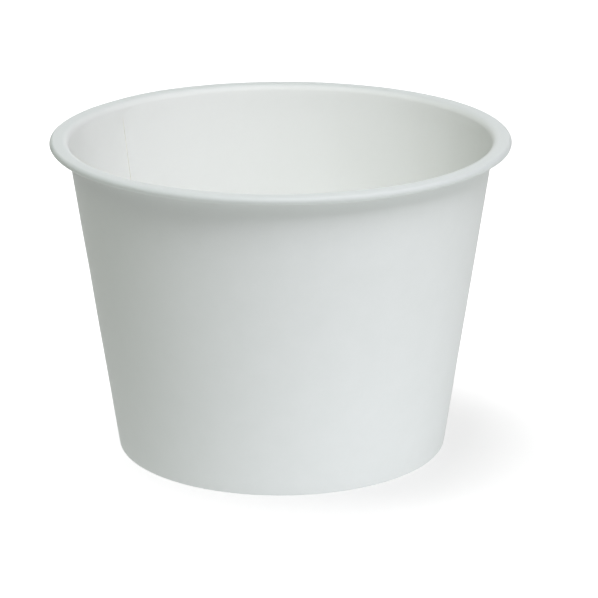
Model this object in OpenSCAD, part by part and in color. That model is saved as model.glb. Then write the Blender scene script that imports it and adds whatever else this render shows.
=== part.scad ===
// Paper sundae cup: a tapered side wall with a lapped seam, a flattened rolled lip and a hemmed
// foot, and a bottom disc whose skirt is sealed inside the hem. Millimetres, +Z up, foot on z = 0.

/* [Cup] */
// Outside width of the lip, the size a lid fits
lip_d = 90; // [80:0.5:100]
// Height from the foot to the top of the lip
cup_h = 62.7; // [50:0.1:90]
// Lean of the side wall from upright, in degrees
lean = 8.3; // [4:0.1:11]

/* [Board] */
// Thickness of the side wall board
wall_t = 0.35; // [0.25:0.01:0.45]
// Thickness of the bottom disc board
disc_t = 0.3; // [0.22:0.01:0.45]
// Thickness of the sealing film between two boards
seal_film = 0.03; // [0.02:0.005:0.05]

/* [Lip] */
// Height of the flattened roll, top to underside
lip_h = 1.5; // [1.2:0.05:1.9]
// Flat width along the top of the roll
lip_flat = 1.55; // [0.8:0.05:2.2]
// Radius of the bend from the inner face up to the lip
flare_r = 1.5; // [1.3:0.05:2]
// Space between the roll's cut edge and the wall
tuck_gap = 0.25; // [0.15:0.05:0.4]

/* [Side seam] */
// Where the inner ply's cut edge stands, in degrees round the cup
seam_at = 141.3; // [0:0.1:359.9]
// Width of the overlap at half height
lap_w = 7; // [4:0.5:12]
// Width over which the outer ply climbs on to the inner one
ramp_w = 6; // [4:0.5:10]
// Height over which the lap is ironed flat towards the lip and the foot
iron_h = 3; // [1:0.5:6]

/* [Foot] */
// Height of the hem turned up inside the foot
hem_h = 5; // [4:0.1:8]
// Inner radius left in the pressed corners of the fold
fold_in = 0.04; // [0.02:0.01:0.06]

/* [Bottom disc] */
// From the hem's cut edge up to the underside of the disc
floor_gap = 1.5; // [1.2:0.1:4]
// Outer radius of the disc's turned-down edge
disc_bend = 0.9; // [0.6:0.05:1.2]
// Space between the skirt's cut edge and the foot fold
skirt_gap = 0.15; // [0.1:0.05:0.5]

/* [Hidden] */
$fn = 180;

// Directions in the section: square to the wall and outwards, and up along the wall
out = [cos(lean), -sin(lean)];
up = [sin(lean), cos(lean)];

// Lip: radius and centre line of the outer roll, centre of the flare, and where the tucked edge ends
roll_r = lip_h / 2;
roll_x = lip_d / 2 - roll_r;
flare_c = [roll_x - lip_flat, cup_h - flare_r];
tuck_rise = flare_r - lip_h + wall_t;
tuck_r = flare_c.x - sqrt(pow(flare_r - wall_t, 2) - pow(tuck_rise, 2)) + tuck_gap;

// Radius at height z of a face lying the depth d under the wall's outer face
function face_r(z, d = 0) =
    flare_c.x - (flare_r - wall_t + d) / cos(lean) + (z - flare_c.y) * tan(lean);

// Foot: depths of each layer under the wall's outer face, and the two pressed corners
fold_r = wall_t + fold_in;
skirt_d = wall_t + seal_film;
hem_d = skirt_d + disc_t + seal_film + wall_t;
fold_c = [face_r(fold_r, fold_r), fold_r];
turn_c = [face_r(fold_r, hem_d - fold_r), fold_r];

// Bottom disc: height of its upper face and the centre of its turned-down edge
floor_z = hem_h + floor_gap + disc_t;
edge_z = floor_z - disc_bend;
edge_c = [face_r(edge_z, skirt_d + disc_bend), edge_z];

// Straight run of the wall between its two bends, from the inner corner at its lower end
wall_foot = fold_c + fold_in * out;
wall_len = (flare_c - wall_foot) * up;

// Side seam: lowest and highest level, angles, and the offset axis that the ramp turns about
lap_lo = fold_c.y + fold_r * out.y;
lap_hi = flare_c.y - (flare_r - wall_t) * out.y;
ply_core = wall_t / 2;
seam_r = face_r(cup_h / 2);
lap_turn = lap_w / seam_r * 180 / PI;
ramp_turn = ramp_w / seam_r * 180 / PI;
ramp_shift = seam_r / (1 + ramp_w * ramp_w / (2 * wall_t * seam_r));
ramp_sweep = 1.25 * ramp_turn * seam_r / (seam_r - ramp_shift);

// A straight run of board: it goes up its own Y from x = 0 .. board, and children go on from its end
module run(length, board) {
    square([board, length]);
    translate([0, length])
    children();
}

// Part of a bend's ring, from the board's own end round through a turn, drawn about the bend's centre
module arc_piece(r, board, turn) {
    reach = 2 * r;
    fan = [for (k = [1:3]) reach * [-cos(turn * k / 3), sin(turn * k / 3)]];
    intersection() {
        difference() {
            circle(r);
            circle(r - board);
        }
        polygon(concat([[0, 0], [-reach, 0]], fan));
    }
}

// A bend to the right whose outer face has radius r; its two arcs overlap and each ends square to a run
module bend(r, turn, board) {
    translate([r, 0]) {
        arc_piece(r, board, turn * 0.65);
        rotate(-turn) {
            arc_piece(r, board, -turn * 0.65);
            translate([-r, 0])
            children();
        }
    }
}

module lip_section() {
    bend(flare_r, 90 - lean, wall_t)
    run(lip_flat, wall_t)
    bend(roll_r, 180, wall_t)
    run(roll_x - tuck_r, wall_t);
}

module hem_section() {
    bend(fold_r, 90 - lean, wall_t)
    run(fold_c.x - turn_c.x, wall_t)
    bend(fold_r, 90 + lean, wall_t)
    run((hem_h - turn_c.y + fold_r * out.y) / up.y, wall_t);
}

// The folded board in section, from the lip's cut edge down the wall to the hem's cut edge
module wall_section() {
    translate(wall_foot)
    rotate(-lean) {
        run(wall_len, wall_t)
        lip_section();
        translate([wall_t, 0])
        rotate(180)
        hem_section();
    }
}

// The disc's board in section, from the axis out and down its skirt
module disc_section() {
    rim_z = edge_c.y + disc_bend * out.y;
    translate([0, floor_z])
    rotate(-90)
    run(edge_c.x, disc_t)
    bend(disc_bend, 90 + lean, disc_t)
    run((rim_z - wall_t - skirt_gap) / up.y, disc_t);
}

// The outer ply of the lap: from its root inside the wall out to one board beyond it
module ply_section() {
    root = 0.8 * wall_t;
    polygon([
        [face_r(lap_lo, root), lap_lo],
        [face_r(lap_lo, ply_core), lap_lo],
        [face_r(lap_lo + iron_h, -wall_t), lap_lo + iron_h],
        [face_r(lap_hi - iron_h, -wall_t), lap_hi - iron_h],
        [face_r(lap_hi, ply_core), lap_hi],
        [face_r(lap_hi, root), lap_hi]
    ]);
}

// All that lies behind the middle of the wall, which the ply never reaches past
module core_section() {
    spare = 6 * wall_t;
    polygon([
        [face_r(-1, spare), -1],
        [face_r(-1, ply_core), -1],
        [face_r(cup_h, ply_core), cup_h],
        [face_r(cup_h, spare), cup_h]
    ]);
}

// What the inner ply's cut edge leaves open: one board deep, ironed out under the lip
module step_section() {
    spare = 4 * wall_t;
    polygon([
        [face_r(edge_z, spare), edge_z],
        [face_r(edge_z), edge_z],
        [face_r(lap_hi - iron_h), lap_hi - iron_h],
        [face_r(lap_hi, spare), lap_hi]
    ]);
}

// Turns a section about the offset axis, so that its face falls back to the wall's own
module ramp() {
    rotate([0, 0, seam_at])
    translate([ramp_shift, 0, 0])
    rotate_extrude(angle = ramp_sweep)
    translate([-ramp_shift, 0])
    children();
}

module outer_ply() {
    rotate([0, 0, seam_at - lap_turn])
    rotate_extrude(angle = lap_turn)
    ply_section();
    difference() {
        ramp()
        ply_section();
        rotate([0, 0, seam_at - ramp_turn])
        rotate_extrude(angle = 4 * ramp_turn)
        core_section();
    }
}

module side_wall() {
    color([0.93, 0.95, 0.95])
    difference() {
        union() {
            rotate_extrude()
            wall_section();
            outer_ply();
        }
        ramp()
        step_section();
    }
}

module bottom_disc() {
    color([0.95, 0.95, 0.93])
    rotate_extrude()
    disc_section();
}

side_wall();
bottom_disc();
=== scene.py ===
"""Looks of a white paper sundae cup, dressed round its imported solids.

The cup is two boards, modelled the way the real ones are folded: a side wall that is rolled with a lapped
seam, curled out into a flattened lip and hemmed at the foot, and a bottom disc with a turned-down skirt.
"""

from __future__ import annotations

import logging
import math
from collections.abc import Iterator
from contextlib import contextmanager
from dataclasses import dataclass, field, replace
from enum import Enum

import bpy
from mathutils import Matrix, Vector


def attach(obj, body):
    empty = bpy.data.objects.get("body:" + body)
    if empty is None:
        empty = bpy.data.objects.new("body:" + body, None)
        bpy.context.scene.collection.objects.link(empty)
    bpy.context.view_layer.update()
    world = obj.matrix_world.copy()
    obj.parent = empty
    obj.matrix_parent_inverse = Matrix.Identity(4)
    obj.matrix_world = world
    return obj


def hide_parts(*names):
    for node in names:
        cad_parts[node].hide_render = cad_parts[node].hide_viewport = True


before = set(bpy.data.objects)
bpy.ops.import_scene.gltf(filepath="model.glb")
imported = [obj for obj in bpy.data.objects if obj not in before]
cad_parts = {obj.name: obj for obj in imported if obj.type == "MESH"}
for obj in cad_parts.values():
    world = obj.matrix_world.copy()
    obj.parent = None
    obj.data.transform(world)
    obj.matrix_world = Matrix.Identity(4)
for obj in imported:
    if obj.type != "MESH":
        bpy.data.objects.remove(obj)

LOG = logging.getLogger("sundae_cup")
Colour = tuple[float, float, float]
Place = tuple[float, float, float]

MM = 0.001
IMAGE_PX = 598
SENSOR_MM = 36.0
UV_NAME = "board"

# Thicknesses that both pieces share, and the gap at which points merge, in millimetres
WALL_BOARD = 0.35
DISC_BOARD = 0.3
SEAL_FILM = 0.03
MERGE_GAP = 0.002

# What all the paper shares: depth of its relief in metres, gloss, and where a crease shows as an edge
RELIEF_DEPTH = 0.02 * MM
SPECULAR = 0.25
CREASE_DEG = 40.0

# The part of its range that a noise mostly fills, and its roughness
NOISE_LOW = 0.3
NOISE_HIGH = 0.7
NOISE_ROUGHNESS = 0.55


class BoardFace(Enum):
    """The material slots of a board, in the order that the wall thickness gives them."""

    OUTSIDE = 0
    INSIDE = 1
    CUT_EDGE = 2


class Facing(Enum):
    """Which way most of a sheet faces before it gets its thickness."""

    OUTWARDS = "outwards"
    UPWARDS = "upwards"


class Lit(Enum):
    """What a lamp falls on, so that cup and floor are lit apart as in a studio."""

    CUP = "cup"
    FLOOR = "floor"


class Turn(Enum):
    """Which way a bend turns, seen in the section with the axis at the left."""

    CLOCKWISE = 1
    COUNTER = -1


# Small helpers for working as by hand


def select_only(obj: bpy.types.Object) -> None:
    """Makes one object the only one selected, and the active one.

    Args:
        obj: The object to work on.
    """
    bpy.ops.object.select_all(action="DESELECT")
    obj.select_set(True)
    bpy.context.view_layer.objects.active = obj


@contextmanager
def editing(obj: bpy.types.Object) -> Iterator[None]:
    """Opens one object alone in edit mode with vertex selection, and closes it again.

    Args:
        obj: The mesh object to work on.

    Returns:
        A context in which edit mode is open.
    """
    select_only(obj)
    bpy.ops.object.mode_set(mode="EDIT")
    bpy.ops.mesh.select_mode(type="VERT")
    try:
        yield
    finally:
        bpy.ops.object.mode_set(mode="OBJECT")


def apply_modifier(obj: bpy.types.Object, modifier: bpy.types.Modifier) -> None:
    """Applies one modifier to the object that carries it."""
    select_only(obj)
    bpy.ops.object.modifier_apply(modifier=modifier.name)


def ease(value: float, start: float, end: float) -> float:
    """Returns a smooth rise from 0 at the start to 1 at the end."""
    t = min(max((value - start) / (end - start), 0.0), 1.0)
    return t * t * (3.0 - 2.0 * t)


# Finishes


class NodeBench:
    """A short-hand for laying out the nodes of a material or a world."""

    def __init__(self, owner: bpy.types.Material | bpy.types.World) -> None:
        """Starts with an empty node tree.

        Args:
            owner: The material or world.
        """
        self.owner = owner
        owner.use_nodes = True
        self.tree = owner.node_tree
        self.tree.nodes.clear()

    def add(self, kind: str, **values: object) -> bpy.types.Node:
        """Adds a node and sets its properties and input sockets.

        Args:
            kind: The node's type name.
            **values: Properties by name, or input sockets by name with spaces as underscores.

        Returns:
            The new node.
        """
        node = self.tree.nodes.new(kind)
        for key, value in values.items():
            if hasattr(node, key):
                setattr(node, key, value)
            else:
                node.inputs[key.replace("_", " ")].default_value = value
        return node

    def link(self, source: bpy.types.NodeSocket, target: bpy.types.NodeSocket) -> None:
        """Joins an output socket to an input socket."""
        self.tree.links.new(source, target)

    def close(self, surface: bpy.types.NodeSocket, kind: str = "ShaderNodeOutputMaterial") -> None:
        """Joins the finished surface to a new output node."""
        self.link(surface, self.add(kind).inputs["Surface"])

    def object_place(self) -> bpy.types.NodeSocket:
        """Returns the coordinates in the piece's own frame."""
        return self.add("ShaderNodeTexCoord").outputs["Object"]

    def noise(self, vector: bpy.types.NodeSocket, scale: float, detail: float) -> bpy.types.NodeSocket:
        """Adds a noise on the given coordinates.

        Args:
            vector: The coordinates to read.
            scale: Its scale.
            detail: Its detail.

        Returns:
            The noise's value.
        """
        node = self.add("ShaderNodeTexNoise", Scale=scale, Detail=detail, Roughness=NOISE_ROUGHNESS)
        self.link(vector, node.inputs["Vector"])
        return node.outputs["Fac"]

    def math(self, kind: str, a: object, b: object) -> bpy.types.NodeSocket:
        """Adds a sum on two values, each a number or a socket.

        Args:
            kind: The operation.
            a: The first value.
            b: The second value.

        Returns:
            The result.
        """
        node = self.add("ShaderNodeMath", operation=kind)
        for socket, value in zip(node.inputs, (a, b)):
            if isinstance(value, (int, float)):
                socket.default_value = value
            else:
                self.link(value, socket)
        return node.outputs["Value"]

    def blend(
        self, a: bpy.types.NodeSocket, b: bpy.types.NodeSocket, share: float
    ) -> bpy.types.NodeSocket:
        """Adds two values up by their shares.

        Args:
            a: The first value.
            b: The second value.
            share: The first one's share, from 0 to 1.

        Returns:
            The weighted sum.
        """
        return self.math("ADD", self.math("MULTIPLY", a, share), self.math("MULTIPLY", b, 1.0 - share))

    def span(self, source: bpy.types.NodeSocket, low: float, high: float) -> bpy.types.NodeSocket:
        """Maps a noise value from its usual middle range to another range.

        Args:
            source: The value to map.
            low: The result for a low value.
            high: The result for a high value.

        Returns:
            The mapped value.
        """
        node = self.add(
            "ShaderNodeMapRange", clamp=True, From_Min=NOISE_LOW, From_Max=NOISE_HIGH, To_Min=low, To_Max=high
        )
        self.link(source, node.inputs["Value"])
        return node.outputs["Result"]

    def fade(
        self, source: bpy.types.NodeSocket, stretch: tuple[float, float], ends: tuple[float, float]
    ) -> bpy.types.NodeSocket:
        """Passes smoothly from one value to another.

        Args:
            source: The value that drives it.
            stretch: Where it starts and ends.
            ends: The values there.

        Returns:
            The passing value.
        """
        node = self.add(
            "ShaderNodeMapRange",
            interpolation_type="SMOOTHSTEP",
            From_Min=stretch[0],
            From_Max=stretch[1],
            To_Min=ends[0],
            To_Max=ends[1],
        )
        self.link(source, node.inputs["Value"])
        return node.outputs["Result"]

    def two_tone(self, share: bpy.types.NodeSocket, first: Colour, second: Colour) -> bpy.types.NodeSocket:
        """Blends two colours by a value.

        Args:
            share: The second colour's share.
            first: The first colour, linear.
            second: The second colour, linear.

        Returns:
            The blended colour.
        """
        node = self.add("ShaderNodeMix", data_type="RGBA", A=(*first, 1.0), B=(*second, 1.0))
        self.link(share, node.inputs["Factor"])
        return node.outputs["Result"]

    def relief(self, height: bpy.types.NodeSocket, strength: float) -> bpy.types.NodeSocket:
        """Turns a height into the fine relief of paper.

        Args:
            height: The height.
            strength: How strong the relief is.

        Returns:
            The surface's normal.
        """
        node = self.add("ShaderNodeBump", Strength=strength, Distance=RELIEF_DEPTH)
        self.link(height, node.inputs["Height"])
        return node.outputs["Normal"]


@dataclass(frozen=True)
class PaperFinish:
    """White cup board: faint cloudy formation, a fibre grain along the board, a thin satin coating and, where
    it is set, painted shade on the lip.

    Attributes:
        name: The material's name.
        light: Colour of the clearer patches, linear.
        dull: Colour of the cloudier patches, linear.
        roughness: Lowest and highest roughness.
        grain: Strength of the fibre grain.
        coat: Weight of the satin coating.
        pressed: Length of board from the lip's cut edge that painted shade darkens and tints bluish, in
            millimetres.
        lip_shade_fade: Width over which the painted shade ends, in millimetres.
        lip_shade_tint: The painted shade's tint, which multiplies the board's colour.
        coat_roughness: Roughness of the coating.
        cloud_scale: Scale of the cloudy formation, per metre.
        cloud_share: Its share of the colour's change. Specks have the rest.
        speck_scale: Scale of the specks, per metre.
        fibre_stretch: Scale of the fibres across and along the board, per millimetre.
        fibre_share: Their share of the grain. Specks have the rest.
    """

    name: str
    light: Colour
    dull: Colour
    roughness: tuple[float, float]
    grain: float
    coat: float
    # Painted shade on the lip: how far it reaches, how it fades out and its tint.
    pressed: float = 0.0
    lip_shade_fade: float = 2.0
    lip_shade_tint: Colour = (0.85, 0.868, 0.882)
    coat_roughness: float = 0.42
    cloud_scale: float = 210.0
    cloud_share: float = 0.7
    speck_scale: float = 1500.0
    fibre_stretch: tuple[float, float, float] = (2.6, 0.45, 1.0)
    fibre_share: float = 0.65

    def material(self) -> bpy.types.Material:
        """Builds the finish, or finds it where another face already has it.

        Returns:
            The material.
        """
        if self.name in bpy.data.materials:
            return bpy.data.materials[self.name]
        bench = NodeBench(bpy.data.materials.new(self.name))
        place = bench.object_place()
        board = bench.add("ShaderNodeUVMap", uv_map=UV_NAME).outputs["UV"]
        clouds = bench.noise(place, self.cloud_scale, 3.0)
        specks = bench.noise(place, self.speck_scale, 2.0)
        stretch = bench.add("ShaderNodeMapping", Scale=self.fibre_stretch)
        bench.link(board, stretch.inputs["Vector"])
        fibres = bench.noise(stretch.outputs["Vector"], 1.0, 4.0)

        tone = bench.span(bench.blend(clouds, specks, self.cloud_share), 0.0, 1.0)
        colour = bench.two_tone(tone, self.dull, self.light)
        # Painted shade: the lip's board is darkened and tinted bluish, so that the lip reads less lit.
        if self.pressed > 0.0:
            colour = self.paint_lip_shade(bench, colour, board)
        height = bench.blend(fibres, specks, self.fibre_share)

        shader = bench.add(
            "ShaderNodeBsdfPrincipled",
            Specular_IOR_Level=SPECULAR,
            Coat_Weight=self.coat,
            Coat_Roughness=self.coat_roughness,
        )
        bench.link(colour, shader.inputs["Base Color"])
        bench.link(bench.span(clouds, *self.roughness), shader.inputs["Roughness"])
        bench.link(bench.relief(height, self.grain), shader.inputs["Normal"])
        bench.close(shader.outputs["BSDF"])
        return bench.owner

    def paint_lip_shade(
        self, bench: NodeBench, colour: bpy.types.NodeSocket, board: bpy.types.NodeSocket
    ) -> bpy.types.NodeSocket:
        """Paints shade on the board that is pressed into the lip: a darker, bluish tone, so that the lip
        reads less lit.

        Args:
            bench: The material's nodes.
            colour: The colour of plain board.
            board: The flat board's own coordinates.

        Returns:
            The colour with the painted shade of the lip in it.
        """
        place = bench.add("ShaderNodeSeparateXYZ")
        bench.link(board, place.inputs["Vector"])
        near = bench.fade(place.outputs["Y"], (self.pressed - self.lip_shade_fade, self.pressed), (1.0, 0.0))
        shade = bench.add("ShaderNodeMix", data_type="RGBA", blend_type="MULTIPLY", B=(*self.lip_shade_tint, 1.0))
        bench.link(near, shade.inputs["Factor"])
        bench.link(colour, shade.inputs["A"])
        return shade.outputs["Result"]


@dataclass(frozen=True)
class CutEdgeFinish:
    """The raw cut edge of board: a warm core with fine layered streaks.

    Attributes:
        name: The material's name.
        core: Colour of the core, linear.
        streak: Colour of the darker layers, linear.
        roughness: Its roughness.
        grain: Strength of the layers' relief.
        layer_scale: Scale of the layers, per metre.
    """

    name: str
    core: Colour
    streak: Colour
    roughness: float = 0.85
    grain: float = 0.25
    layer_scale: float = 5200.0

    def material(self) -> bpy.types.Material:
        """Builds the finish, or finds it where another board already has it.

        Returns:
            The material.
        """
        if self.name in bpy.data.materials:
            return bpy.data.materials[self.name]
        bench = NodeBench(bpy.data.materials.new(self.name))
        layers = bench.noise(bench.object_place(), self.layer_scale, 4.0)
        colour = bench.two_tone(bench.span(layers, 0.0, 1.0), self.streak, self.core)
        shader = bench.add(
            "ShaderNodeBsdfPrincipled", Roughness=self.roughness, Specular_IOR_Level=SPECULAR
        )
        bench.link(colour, shader.inputs["Base Color"])
        bench.link(bench.relief(layers, self.grain), shader.inputs["Normal"])
        bench.close(shader.outputs["BSDF"])
        return bench.owner


@dataclass(frozen=True)
class BoardFinish:
    """The finishes of one board.

    Attributes:
        outside: The face that the sheet's normals point from.
        inside: The other face.
        edge: The cut edges.
    """

    outside: PaperFinish
    inside: PaperFinish
    edge: CutEdgeFinish

    def dress(self, obj: bpy.types.Object) -> None:
        """Adds the materials to a sheet, in the order that the wall thickness gives them to faces."""
        for finish in (self.outside, self.inside, self.edge):
            obj.data.materials.append(finish.material())


@dataclass(frozen=True)
class FloorPool:
    """A brighter patch of the floor, which throws more light back on the cup.

    Attributes:
        middle: Its middle, in metres.
        radius: Radius at which it has faded out, in metres.
        light: Light from its middle, linear.
    """

    middle: Place
    radius: float
    light: Colour


@dataclass(frozen=True)
class FloorFinish:
    """A plain pale floor that reads as white to the camera and keeps the cup's shadow.

    Attributes:
        name: The material's name.
        colour: Its own colour, linear.
        lift: Light added at the cup for the camera and for reflections, so that bare floor reads as white.
        clear_r: Distance from the cup at which that light alone is white, in metres.
        glow: Light that the floor throws back on the cup all round, linear.
        pools: The brighter patches in front and behind.
    """

    name: str = "pale_floor"
    colour: Colour = (0.4, 0.4, 0.4)
    lift: float = 0.7
    clear_r: float = 0.5
    glow: Colour = (0.43, 0.45, 0.41)
    pools: tuple[FloorPool, ...] = (
        FloorPool((0.052, -0.07, 0.0), 0.18, (1.09, 1.14, 1.13)),
        FloorPool((0.0, 0.13, 0.0), 0.17, (1.0, 1.02, 1.0)),
    )

    def material(self) -> bpy.types.Material:
        """Builds the finish.

        Returns:
            The material.
        """
        bench = NodeBench(bpy.data.materials.new(self.name))
        base = bench.add("ShaderNodeBsdfDiffuse", Color=(*self.colour, 1.0))
        lift = bench.add("ShaderNodeEmission")
        near = self.nearness(bench, (0.0, 0.0, 0.0), self.clear_r, (self.lift, 1.0))
        bench.link(near, lift.inputs["Strength"])
        seen = bench.add("ShaderNodeAddShader")
        bench.link(base.outputs["BSDF"], seen.inputs[0])
        bench.link(lift.outputs["Emission"], seen.inputs[1])
        glow = bench.add("ShaderNodeEmission")
        bench.link(self.thrown_light(bench), glow.inputs["Color"])

        path = bench.add("ShaderNodeLightPath")
        rays = bench.math("MAXIMUM", path.outputs["Is Camera Ray"], path.outputs["Is Glossy Ray"])
        rays = bench.math("MAXIMUM", rays, path.outputs["Is Transmission Ray"])
        pick = bench.add("ShaderNodeMixShader")
        bench.link(rays, pick.inputs["Fac"])
        bench.link(glow.outputs["Emission"], pick.inputs[1])
        bench.link(seen.outputs["Shader"], pick.inputs[2])
        bench.close(pick.outputs["Shader"])
        return bench.owner

    def thrown_light(self, bench: NodeBench) -> bpy.types.NodeSocket:
        """Lays the brighter pools over the even glow.

        Args:
            bench: The material's nodes.

        Returns:
            The light that the floor throws back.
        """
        mixes = []
        for pool in self.pools:
            mix = bench.add("ShaderNodeMix", data_type="RGBA", A=(*self.glow, 1.0), B=(*pool.light, 1.0))
            bench.link(self.nearness(bench, pool.middle, pool.radius, (1.0, 0.0)), mix.inputs["Factor"])
            mixes.append(mix)
        for under, over in zip(mixes, mixes[1:]):
            bench.link(under.outputs["Result"], over.inputs["A"])
        return mixes[-1].outputs["Result"]

    def nearness(
        self, bench: NodeBench, middle: Place, radius: float, ends: tuple[float, float]
    ) -> bpy.types.NodeSocket:
        """Passes from one value at a place to another at a distance from it.

        Args:
            bench: The material's nodes.
            middle: The place, in metres.
            radius: Distance at which the second value is reached, in metres.
            ends: The values at the place and from the distance on.

        Returns:
            The passing value.
        """
        reach = bench.add("ShaderNodeVectorMath", operation="DISTANCE")
        reach.inputs[1].default_value = middle
        bench.link(bench.object_place(), reach.inputs[0])
        return bench.fade(reach.outputs["Value"], (0.0, radius), ends)


# Boards


class BoardSection:
    """A board's middle line, drawn vertex by vertex in edit mode in the plane y = 0."""

    def __init__(self, name: str, start: Vector) -> None:
        """Adds a small plane, merges it to one vertex and moves that to the start.

        Args:
            name: The object's name.
            start: The first point of the line, in millimetres as (radius, height).
        """
        bpy.ops.object.select_all(action="DESELECT")
        bpy.ops.mesh.primitive_plane_add(size=MM)
        self.obj = bpy.context.active_object
        self.obj.name = name
        self.obj.data.name = name
        with editing(self.obj):
            bpy.ops.mesh.select_all(action="SELECT")
            bpy.ops.mesh.merge(type="CENTER")
            bpy.ops.transform.translate(value=(start.x * MM, 0.0, start.y * MM))
        self.points: list[Vector] = [start.copy()]

    def extend(self, step: Vector) -> None:
        """Extrudes the line by one edge."""
        bpy.ops.mesh.extrude_vertices_move(TRANSFORM_OT_translate={"value": (step.x * MM, 0.0, step.y * MM)})
        self.points.append(self.points[-1] + step)

    def run(self, along: Vector, length: float, steps: int) -> None:
        """Carries the line straight on.

        Args:
            along: Unit direction in the section.
            length: How far, in millimetres.
            steps: How many edges.
        """
        for _ in range(steps):
            self.extend(along * (length / steps))

    def bend(self, centre: Vector, degrees: float, turn: Turn, steps: int) -> None:
        """Carries the line round a bend.

        Args:
            centre: The bend's centre in the section, in millimetres.
            degrees: How far it turns.
            turn: Which way.
            steps: How many edges.
        """
        angle = -math.radians(degrees) * turn.value / steps
        arm = self.points[-1] - centre
        for _ in range(steps):
            arm = Matrix.Rotation(angle, 2) @ arm
            self.extend(centre + arm - self.points[-1])

    def lengths(self) -> list[float]:
        """Measures along the line.

        Returns:
            The distance from its start to each of its points, in millimetres.
        """
        out = [0.0]
        for a, b in zip(self.points, self.points[1:]):
            out.append(out[-1] + (b - a).length)
        return out


def lay_out_board(obj: bpy.types.Object, places: list[tuple[float, float]]) -> None:
    """Writes the flat board's own coordinates, in millimetres, as a UV map.

    Args:
        obj: The board.
        places: Where each vertex lies on the flat board.
    """
    layer = obj.data.uv_layers.new(name=UV_NAME)
    for loop in obj.data.loops:
        layer.data[loop.index].uv = places[loop.vertex_index]


def add_group(obj: bpy.types.Object, name: str, weights: list[float]) -> None:
    """Adds a vertex group.

    Args:
        obj: The board.
        name: The group's name.
        weights: One weight for each vertex.
    """
    group = obj.vertex_groups.new(name=name)
    for index, weight in enumerate(weights):
        if weight > 0.0:
            group.add([index], weight, "REPLACE")


def turn_faces(obj: bpy.types.Object, facing: Facing) -> None:
    """Turns a sheet's faces so that most of its area faces one way.

    Args:
        obj: The sheet.
        facing: The way.
    """
    score = 0.0
    for polygon in obj.data.polygons:
        way = Vector((0.0, 0.0, 1.0))
        if facing is Facing.OUTWARDS:
            way = Vector((polygon.center.x, polygon.center.y, 0.0)).normalized()
        score += polygon.normal.dot(way) * polygon.area
    if score < 0.0:
        with editing(obj):
            bpy.ops.mesh.select_all(action="SELECT")
            bpy.ops.mesh.flip_normals()


def push(obj: bpy.types.Object, group: str, height: float) -> None:
    """Moves a group of the sheet along its own normals.

    Args:
        obj: The sheet.
        group: The vertex group, whose weights scale the move.
        height: The full move, in metres.
    """
    modifier = obj.modifiers.new(group, "DISPLACE")
    modifier.direction = "NORMAL"
    modifier.vertex_group = group
    modifier.mid_level = 0.0
    modifier.strength = height
    apply_modifier(obj, modifier)


def ripple(obj: bpy.types.Object, group: str, height: float, width: float) -> None:
    """Gives a sheet the slight unevenness of real board.

    Args:
        obj: The sheet.
        group: The vertex group, whose weights scale it.
        height: Top to bottom, in metres.
        width: Usual width of one ripple, in metres.
    """
    cloud = bpy.data.textures.new(obj.name + "_give", "CLOUDS")
    cloud.noise_scale = width
    cloud.noise_depth = 1
    modifier = obj.modifiers.new("give", "DISPLACE")
    modifier.texture = cloud
    modifier.texture_coords = "LOCAL"
    modifier.direction = "NORMAL"
    modifier.vertex_group = group
    modifier.mid_level = 0.5
    modifier.strength = height
    apply_modifier(obj, modifier)


def thicken(obj: bpy.types.Object, board: float, thinned: str = "", share: float = 1.0) -> None:
    """Gives a sheet its board thickness about its middle, with raw edges, and shades it.

    Args:
        obj: The sheet.
        board: The thickness, in metres.
        thinned: A vertex group where the board is thinner.
        share: The share of the thickness that is left there.
    """
    modifier = obj.modifiers.new("board", "SOLIDIFY")
    modifier.thickness = board
    if thinned:
        modifier.vertex_group = thinned
        modifier.invert_vertex_group = True
        modifier.thickness_vertex_group = share
    modifier.offset = 0.0
    modifier.use_even_offset = True
    modifier.use_quality_normals = True
    modifier.material_offset = BoardFace.INSIDE.value
    modifier.material_offset_rim = BoardFace.CUT_EDGE.value
    apply_modifier(obj, modifier)
    bpy.ops.object.shade_smooth_by_angle(angle=math.radians(CREASE_DEG))


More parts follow.
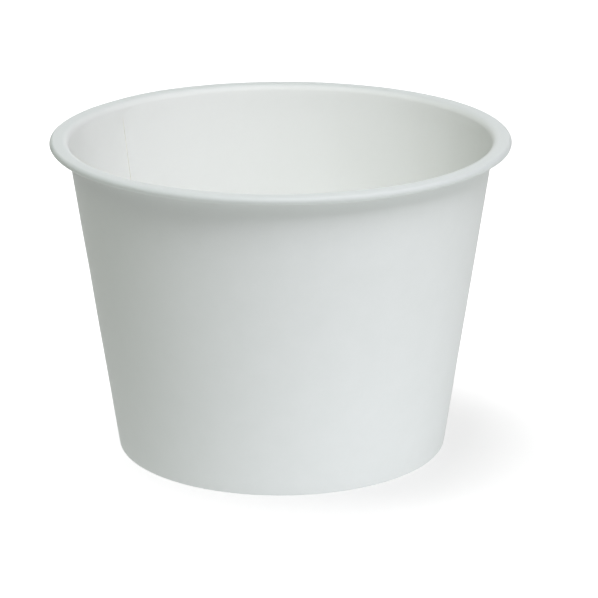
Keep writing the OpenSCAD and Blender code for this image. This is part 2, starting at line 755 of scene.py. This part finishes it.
@dataclass
class SideWall:
    """The rolled board with its lip, side seam and hem. Sizes in millimetres, angles in degrees.

    Attributes:
        lip_d: Outside width of the lip.
        cup_h: Height from the foot to the top of the lip.
        lean: Lean of the wall from upright.
        board: Thickness of its board.
        skirt_board: Thickness of the disc's skirt, which the hem holds.
        seal_film: Sealing film on each side of that skirt.
        lip_h: Height of the flattened roll.
        lip_flat: Flat width along the top of the roll.
        flare_r: Radius of the bend from the inner face up to the lip.
        tuck_gap: Space between the roll's cut edge and the wall.
        seam_at: Where the inner ply's cut edge stands, round the cup.
        lap_w: Width of the overlap at half height.
        lap_film: Sealing film in the overlap.
        ramp_w: Width over which the outer ply climbs on to the inner one.
        skive_w: Width over which the inner ply is thinned to its edge.
        skive_share: Share of the board that is left at that edge.
        ironed_flat: Share of the lap's step that is left where it is ironed.
        foot_iron: Heights between which the ironing ends above the foot.
        lip_iron: Heights over the lip's bend between which it starts again.
        hem_stand: Share of the step that is left up in the hem.
        hem_iron: Heights between which the hem's ironing ends.
        hem_h: Height of the hem.
        fold_in: Inner radius left in the pressed corners of the fold.
        rib_h: Height of the ribs that are pressed into the hem.
        rib_columns: Columns of the mesh from one rib to the next.
        give_h: Height of the board's ripples.
        give_w: Usual width of a ripple.
        give_rise: Heights between which the wall starts to give.
        hem_give: Share of the give that the hem has.
        turn_steps: Columns of the mesh round the plain wall.
        ramp_steps: Columns up the climb.
        lap_steps: Columns along the overlap.
    """

    lip_d: float = 90.0
    cup_h: float = 62.7
    lean: float = 8.3
    board: float = WALL_BOARD
    skirt_board: float = DISC_BOARD
    seal_film: float = SEAL_FILM
    lip_h: float = 1.5
    lip_flat: float = 1.55
    flare_r: float = 1.5
    tuck_gap: float = 0.25
    seam_at: float = 141.3
    lap_w: float = 7.0
    lap_film: float = 0.012
    ramp_w: float = 6.0
    skive_w: float = 3.0
    skive_share: float = 0.5
    ironed_flat: float = 0.05
    foot_iron: tuple[float, float] = (0.35, 2.85)
    lip_iron: tuple[float, float] = (-2.6, 0.4)
    hem_stand: float = 0.75
    hem_iron: tuple[float, float] = (0.3, 2.3)
    hem_h: float = 5.0
    fold_in: float = 0.04
    rib_h: float = 0.12
    rib_columns: int = 4
    give_h: float = 0.26
    give_w: float = 26.0
    give_rise: tuple[float, float] = (0.6, 18.6)
    hem_give: float = 0.3
    turn_steps: int = 360
    ramp_steps: int = 10
    lap_steps: int = 11

    def __post_init__(self) -> None:
        """Works out the directions and bend centres of the section."""
        a = math.radians(self.lean)
        self.out = Vector((math.cos(a), -math.sin(a)))
        self.up = Vector((math.sin(a), math.cos(a)))
        self.half = self.board / 2
        self.roll_r = self.lip_h / 2
        self.roll_c = Vector((self.lip_d / 2 - self.roll_r, self.cup_h - self.roll_r))
        self.flare_c = Vector((self.roll_c.x - self.lip_flat, self.cup_h - self.flare_r))
        self.fold_r = self.board + self.fold_in
        self.fold_c = Vector((self.face_r(self.fold_r, self.fold_r), self.fold_r))
        hem_depth = 2 * self.board + self.skirt_board + 2 * self.seal_film
        self.turn_c = Vector((self.face_r(self.fold_r, hem_depth - self.fold_r), self.fold_r))
        self.mid_r = self.face_r(self.cup_h / 2)
        self.lap_deg = math.degrees(self.lap_w / self.mid_r)
        self.ramp_deg = math.degrees(self.ramp_w / self.mid_r)

    def face_r(self, z: float, depth: float = 0.0) -> float:
        """Works out how far a face of the wall is from the axis.

        Args:
            z: The height.
            depth: How far the face lies under the wall's outer face, square to it.

        Returns:
            The radius at that height.
        """
        a = math.radians(self.lean)
        base = self.flare_c.x - (self.flare_r - self.board + depth) / math.cos(a)
        return base + (z - self.flare_c.y) * math.tan(a)

    def section(self) -> BoardSection:
        """Draws the board's middle line from the lip's cut edge to the hem's cut edge.

        Returns:
            The drawn section.
        """
        rise = self.flare_r - self.lip_h + self.board
        reach = math.sqrt((self.flare_r - self.board) ** 2 - rise**2)
        tuck_r = self.flare_c.x - reach + self.tuck_gap
        line = BoardSection("side_wall_board", Vector((tuck_r, self.cup_h - self.lip_h + self.half)))
        wall_len = (self.flare_c - self.fold_c).dot(self.up)
        hem_z = (self.turn_c - (self.fold_r - self.half) * self.out).y
        outwards = Vector((1.0, 0.0))
        with editing(line.obj):
            bpy.ops.mesh.select_all(action="SELECT")
            line.run(outwards, self.roll_c.x - tuck_r, steps=4)
            line.bend(self.roll_c, 180.0, Turn.COUNTER, steps=16)
            line.run(-outwards, self.lip_flat, steps=2)
            line.bend(self.flare_c, 90.0 - self.lean, Turn.COUNTER, steps=10)
            line.run(-self.up, wall_len, steps=30)
            line.bend(self.fold_c, 90.0 - self.lean, Turn.CLOCKWISE, steps=6)
            line.run(-outwards, self.fold_c.x - self.turn_c.x, steps=1)
            self.fold_row = len(line.points) - 1
            line.bend(self.turn_c, 90.0 + self.lean, Turn.CLOCKWISE, steps=6)
            self.hem_row = len(line.points) - 1
            line.run(self.up, (self.hem_h - hem_z) / self.up.y, steps=8)
        return line

    def ironed(self, row: int, z: float) -> float:
        """Works out how far the lap stands at a point of the section: full on the wall, pressed at its ends.

        Args:
            row: The point's number along the section.
            z: The point's height.

        Returns:
            A share from 0 to 1.
        """
        flat = self.ironed_flat
        if row > self.fold_row:
            return flat + (self.hem_stand - flat) * ease(z, *self.hem_iron)
        low = ease(z, *self.foot_iron)
        high = 1.0 - ease(z - self.flare_c.y, *self.lip_iron)
        return flat + (1.0 - flat) * low * high

    def ribbed(self, column: int, row: int, count: int) -> float:
        """Tells whether a point of the sheet stands on one of the ribs that are pressed into the hem.

        Args:
            column: The point's number round the roll.
            row: The point's number along the section.
            count: How many points the section has.

        Returns:
            1 on a rib, otherwise 0.
        """
        on_band = self.hem_row + 1 < row < count - 2
        return float(on_band and column % self.rib_columns in (1, 2))

    def rolled(self, line: BoardSection) -> bpy.types.Object:
        """Spins the section round the axis past a full turn.

        Args:
            line: The section.

        Returns:
            The sheet, still without thickness, with its coordinates and groups.
        """
        legs = (
            (360.0 - self.ramp_deg, self.turn_steps),
            (self.ramp_deg, self.ramp_steps),
            (self.lap_deg, self.lap_steps),
        )
        turned = [0.0]
        with editing(line.obj):
            bpy.ops.mesh.select_all(action="SELECT")
            for degrees, steps in legs:
                angle = math.radians(degrees)
                bpy.ops.mesh.spin(steps=steps, angle=angle, center=(0, 0, 0), axis=(0, 0, 1))
                turned += [turned[-1] + degrees * (k + 1) / steps for k in range(steps)]
            bpy.ops.mesh.select_all(action="SELECT")
            bpy.ops.mesh.normals_make_consistent(inside=False)
            bpy.ops.transform.rotate(
                value=-math.radians(self.seam_at), orient_axis="Z", center_override=(0.0, 0.0, 0.0)
            )
        self.mark(line, turned)
        return line.obj

    def mark(self, line: BoardSection, turned: list[float]) -> None:
        """Lays out the board's own coordinates and marks its lap, thinned edge, ribs and give as groups.

        Args:
            line: The section, whose object is the rolled sheet.
            turned: Degrees rolled at each column of the sheet.
        """
        obj = line.obj
        count = len(line.points)
        along = line.lengths()
        arcs = [math.radians(angle) * self.mid_r for angle in turned]
        climb = [ease(angle, 360.0 - self.ramp_deg, 360.0) for angle in turned]
        skive = [1.0 - ease(arc, 0.0, self.skive_w) for arc in arcs]
        stand = [self.ironed(row, point.y) for row, point in enumerate(line.points)]
        give = [
            ease(point.y, *self.give_rise) * (1.0 if row <= self.fold_row else self.hem_give)
            for row, point in enumerate(line.points)
        ]
        layout = [divmod(index, count) for index in range(len(obj.data.vertices))]
        lay_out_board(obj, [(arcs[column], along[row]) for column, row in layout])
        add_group(obj, "lap", [climb[column] * stand[row] for column, row in layout])
        add_group(obj, "skive", [skive[column] for column, _ in layout])
        add_group(obj, "ribs", [self.ribbed(column, row, count) for column, row in layout])
        add_group(obj, "give", [give[row] for _, row in layout])

    def build(self, finish: BoardFinish) -> bpy.types.Object:
        """Makes the folded, rolled and lapped board and dresses it.

        Args:
            finish: The board's finishes.

        Returns:
            The finished object.
        """
        obj = self.rolled(self.section())
        turn_faces(obj, Facing.OUTWARDS)
        push(obj, "lap", (self.board + self.lap_film) * MM)
        push(obj, "skive", self.half * (1.0 - self.skive_share) * MM)
        push(obj, "ribs", self.rib_h * MM)
        ripple(obj, "give", self.give_h * MM, self.give_w * MM)
        finish.dress(obj)
        thicken(obj, self.board * MM, "skive", self.skive_share)
        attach(obj, "root")
        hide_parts("side_wall")
        return obj


@dataclass
class BottomDisc:
    """The round board with its turned-down skirt. Sizes in millimetres, angles in degrees.

    Attributes:
        wall: The wall that holds it.
        board: Thickness of its board.
        seal_film: Sealing film between its skirt and the wall.
        floor_gap: From the hem's cut edge up to the disc's underside.
        bend_r: Outer radius of its turned-down edge.
        skirt_gap: Space between the skirt's cut edge and the foot's fold.
        puckers: Gathers round the turned-down edge.
        pucker_h: Depth of a gather.
        pucker_in: Radii from the bend's start between which the gathers set in.
        pucker_up: Heights over the hem between which they set in.
        give_h: Height of the board's ripples.
        give_w: Usual width of a ripple.
        give_edge: Radii from the bend's start between which the ripples die out.
        turn_steps: Columns of the mesh round the disc.
    """

    wall: SideWall
    board: float = DISC_BOARD
    seal_film: float = SEAL_FILM
    floor_gap: float = 1.5
    bend_r: float = 0.9
    skirt_gap: float = 0.15
    puckers: int = 44
    pucker_h: float = 0.07
    pucker_in: tuple[float, float] = (-0.8, 0.2)
    pucker_up: tuple[float, float] = (-0.3, 0.5)
    give_h: float = 0.3
    give_w: float = 22.0
    give_edge: tuple[float, float] = (-6.0, -1.0)
    turn_steps: int = 180

    def section(self) -> BoardSection:
        """Draws the board's middle line from the axis out and down the skirt.

        Returns:
            The drawn section.
        """
        top = self.wall.hem_h + self.floor_gap + self.board
        edge_z = top - self.bend_r
        depth = self.wall.board + self.seal_film + self.bend_r
        centre = Vector((self.wall.face_r(edge_z, depth), edge_z))
        rim_z = centre.y + self.bend_r * self.wall.out.y
        skirt_len = (rim_z - self.wall.board - self.skirt_gap) / self.wall.up.y
        line = BoardSection("bottom_disc_board", Vector((0.0, top - self.board / 2)))
        with editing(line.obj):
            bpy.ops.mesh.select_all(action="SELECT")
            line.run(Vector((1.0, 0.0)), centre.x, steps=22)
            self.edge_r = line.points[-1].x
            line.bend(centre, 90.0 + self.wall.lean, Turn.CLOCKWISE, steps=9)
            line.run(-self.wall.up, skirt_len, steps=7)
        return line

    def pucker(self, place: Vector) -> float:
        """Works out how deep a gather of the turned-down edge is at a point.

        Args:
            place: The point, in millimetres.

        Returns:
            A share from 0 to 1.
        """
        angle = math.atan2(place.y, place.x)
        reach = ease(math.hypot(place.x, place.y) - self.edge_r, *self.pucker_in)
        rise = ease(place.z - self.wall.hem_h, *self.pucker_up)
        wander = 1.7 * math.sin(5.0 * angle)
        uneven = 0.6 + 0.4 * math.sin(3.0 * angle + 0.7)
        wave = 0.5 + 0.5 * math.cos(self.puckers * angle + wander)
        return reach * rise * wave**2 * uneven

    def build(self, finish: BoardFinish) -> bpy.types.Object:
        """Makes the disc with its skirt and the small gathers round its bend, and dresses it.

        Args:
            finish: The board's finishes.

        Returns:
            The finished object.
        """
        obj = self.section().obj
        with editing(obj):
            bpy.ops.mesh.select_all(action="SELECT")
            bpy.ops.mesh.spin(steps=self.turn_steps, angle=math.tau, center=(0, 0, 0), axis=(0, 0, 1))
            bpy.ops.mesh.select_all(action="SELECT")
            bpy.ops.mesh.remove_doubles(threshold=MERGE_GAP * MM)
            bpy.ops.mesh.normals_make_consistent(inside=False)
        turn_faces(obj, Facing.UPWARDS)
        places = [vertex.co / MM for vertex in obj.data.vertices]
        lay_out_board(obj, [(p.x, p.y) for p in places])
        add_group(obj, "pucker", [self.pucker(p) for p in places])
        inset = [math.hypot(p.x, p.y) - self.edge_r for p in places]
        add_group(obj, "give", [1.0 - ease(distance, *self.give_edge) for distance in inset])
        push(obj, "pucker", -self.pucker_h * MM)
        ripple(obj, "give", self.give_h * MM, self.give_w * MM)
        finish.dress(obj)
        thicken(obj, self.board * MM)
        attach(obj, "root")
        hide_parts("bottom_disc")
        return obj


# Stage


@dataclass(frozen=True)
class SoftLamp:
    """A square soft box aimed at the cup.

    Attributes:
        name: Its name.
        azimuth: Degrees to the right of the camera, seen from above.
        elevation: Degrees above the floor.
        level: How bright a white surface facing it would be.
        colour: Its tint.
        distance: Metres from the cup.
        size: Width in metres.
        falls_on: What it lights.
    """

    name: str
    azimuth: float
    elevation: float
    level: float
    colour: Colour = (1.0, 1.0, 1.0)
    distance: float = 1.1
    size: float = 0.7
    falls_on: Lit = Lit.CUP

    def place(self, aim: Vector) -> bpy.types.Object:
        """Adds the lamp to the scene.

        Args:
            aim: The point that it faces.

        Returns:
            The lamp's object.
        """
        a, e = math.radians(self.azimuth), math.radians(self.elevation)
        way = Vector((math.sin(a) * math.cos(e), -math.cos(a) * math.cos(e), math.sin(e)))
        bpy.ops.object.light_add(type="AREA", location=aim + way * self.distance)
        lamp = bpy.context.active_object
        lamp.name = self.name
        lamp.rotation_euler = way.to_track_quat("Z", "Y").to_euler()
        lamp.data.shape = "SQUARE"
        lamp.data.size = self.size
        lamp.data.color = self.colour
        lamp.data.energy = self.level * (math.pi * self.distance) ** 2
        return lamp


@dataclass
class Studio:
    """The camera, the pale floor and the soft light. Sizes in millimetres, angles in degrees.

    Attributes:
        elevation: Height of the camera's view over level.
        distance: From the camera to its aim.
        focal_px: Focal length in pixels of the image.
        aim_z: Height on the axis that the camera and the lamps aim at.
        roll: Turn of the camera round its view.
        offset_px: Where the aim lies from the image's middle, to the right and down, in pixels.
        floor_w: Width of the floor.
        floor: The floor's finish.
        ambient: Even light from all round, linear.
        lamps: The soft boxes.
    """

    elevation: float = 17.666
    distance: float = 577.61
    focal_px: float = 2910.2
    aim_z: float = 31.344
    roll: float = -0.257
    offset_px: tuple[float, float] = (-17.674, -11.03)
    floor_w: float = 12000.0
    floor: FloorFinish = field(default_factory=FloorFinish)
    ambient: Colour = (0.03, 0.03, 0.03)
    lamps: tuple[SoftLamp, ...] = (
        SoftLamp("key", 26.0, 53.0, 0.63, (0.95, 0.96, 1.0), distance=1.0, size=0.45),
        SoftLamp("left_fill", -70.0, 60.0, 0.28, (0.91, 1.0, 0.87)),
        SoftLamp("right_fill", 74.0, 26.0, 0.12, distance=0.5, size=0.35),
        SoftLamp("front_fill", 0.0, 25.0, 0.05),
        SoftLamp("back_fill", 180.0, 10.0, 0.3),
        SoftLamp("overhead", -105.0, 82.0, 1.7, distance=0.8, size=0.55, falls_on=Lit.FLOOR),
    )

    def __post_init__(self) -> None:
        """Works out the point that the camera and the lamps aim at."""
        self.aim = Vector((0.0, 0.0, self.aim_z * MM))

    def add_camera(self) -> None:
        """Puts the camera at the photograph's viewpoint."""
        e = math.radians(self.elevation)
        way = Vector((0.0, -math.cos(e), math.sin(e)))
        bpy.ops.object.camera_add(location=self.aim + way * self.distance * MM)
        camera = bpy.context.active_object
        tilt = Matrix.Rotation(math.pi / 2 - e, 3, "X")
        camera.rotation_euler = (tilt @ Matrix.Rotation(math.radians(self.roll), 3, "Z")).to_euler()
        camera.data.sensor_width = SENSOR_MM
        camera.data.lens = SENSOR_MM * self.focal_px / IMAGE_PX
        camera.data.shift_x = -self.offset_px[0] / IMAGE_PX
        camera.data.shift_y = self.offset_px[1] / IMAGE_PX
        camera.data.clip_start = 0.01
        camera.data.clip_end = 50.0
        bpy.context.scene.camera = camera

    def add_floor(self) -> bpy.types.Object:
        """Lays the floor under the cup.

        Returns:
            The floor.
        """
        bpy.ops.object.select_all(action="DESELECT")
        bpy.ops.mesh.primitive_plane_add(size=self.floor_w * MM)
        floor = bpy.context.active_object
        floor.name = "floor"
        with editing(floor):
            bpy.ops.mesh.select_all(action="SELECT")
            bpy.ops.mesh.subdivide(number_cuts=3)
        floor.data.materials.append(self.floor.material())
        return floor

    def add_lamps(self, targets: dict[Lit, list[bpy.types.Object]]) -> None:
        """Adds the soft boxes, each for what it lights.

        Args:
            targets: The objects that each kind of lamp falls on.
        """
        groups = {}
        for kind, objects in targets.items():
            groups[kind] = bpy.data.collections.new("lit_" + kind.value)
            for obj in objects:
                groups[kind].objects.link(obj)
        for lamp in self.lamps:
            placed = lamp.place(self.aim)
            placed.light_linking.receiver_collection = groups[lamp.falls_on]

    def add_surroundings(self) -> None:
        """Adds a weak even light all round, which the camera sees as a pale grey."""
        bench = NodeBench(bpy.data.worlds.new("studio"))
        weak = bench.add("ShaderNodeBackground", Color=(*self.ambient, 1.0))
        pale = bench.add("ShaderNodeBackground")
        path = bench.add("ShaderNodeLightPath")
        pick = bench.add("ShaderNodeMixShader")
        bench.link(path.outputs["Is Camera Ray"], pick.inputs["Fac"])
        bench.link(weak.outputs["Background"], pick.inputs[1])
        bench.link(pale.outputs["Background"], pick.inputs[2])
        bench.close(pick.outputs["Shader"], "ShaderNodeOutputWorld")
        bpy.context.scene.world = bench.owner

    def build(self, cup: list[bpy.types.Object]) -> None:
        """Sets up the whole stage.

        Args:
            cup: The cup's pieces.
        """
        self.add_camera()
        floor = self.add_floor()
        self.add_lamps({Lit.CUP: cup, Lit.FLOOR: [floor]})
        self.add_surroundings()
        bpy.context.scene.view_settings.view_transform = "Standard"


# The cup's own finishes

# The inside board is set lighter than the outside board of the same sheet. The difference is painted light
# and shade, so that the inside of the cup reads brighter and the outer wall darker.
COATED_OUTSIDE = PaperFinish(
    "coated_board_outside",
    light=(0.86, 0.87, 0.872),
    dull=(0.838, 0.85, 0.85),
    roughness=(0.58, 0.66),
    grain=0.16,
    coat=0.03,
)
COATED_INSIDE = PaperFinish(
    "coated_board_inside",
    light=(0.953, 0.958, 0.944),
    dull=(0.938, 0.943, 0.927),
    roughness=(0.56, 0.64),
    grain=0.12,
    coat=0.03,
    # Painted shade on the lip: its last 7.6 mm of board are darkened and tinted bluish.
    pressed=7.6,
)
# The disc's top face is the inside board made darker. This is painted shade, which keeps the disc from
# clipping to white under the key.
COATED_DISC_SHADED = replace(
    COATED_INSIDE,
    name="coated_board_disc_shaded",
    light=(0.845, 0.85, 0.835),
    dull=(0.825, 0.83, 0.814),
    pressed=0.0,
)
PLAIN_UNDERSIDE = PaperFinish(
    "plain_board_underside",
    light=(0.87, 0.875, 0.855),
    dull=(0.83, 0.835, 0.81),
    roughness=(0.62, 0.7),
    grain=0.3,
    coat=0.0,
)
CUT_BOARD = CutEdgeFinish("cut_board_edge", core=(0.97, 0.955, 0.89), streak=(0.94, 0.92, 0.84))


def main() -> None:
    """Builds the cup's boards and their stage, in order."""
    logging.basicConfig(level=logging.INFO, format="%(name)s: %(message)s")
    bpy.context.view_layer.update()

    wall = SideWall()
    wall_piece = wall.build(BoardFinish(COATED_OUTSIDE, COATED_INSIDE, CUT_BOARD))
    LOG.info("%s: %d faces", wall_piece.name, len(wall_piece.data.polygons))

    disc = BottomDisc(wall)
    disc_piece = disc.build(BoardFinish(COATED_DISC_SHADED, PLAIN_UNDERSIDE, CUT_BOARD))
    LOG.info("%s: %d faces", disc_piece.name, len(disc_piece.data.polygons))

    Studio().build([wall_piece, disc_piece])
    LOG.info("stage set")

    bpy.context.view_layer.update()


if __name__ == "__main__":
    main()
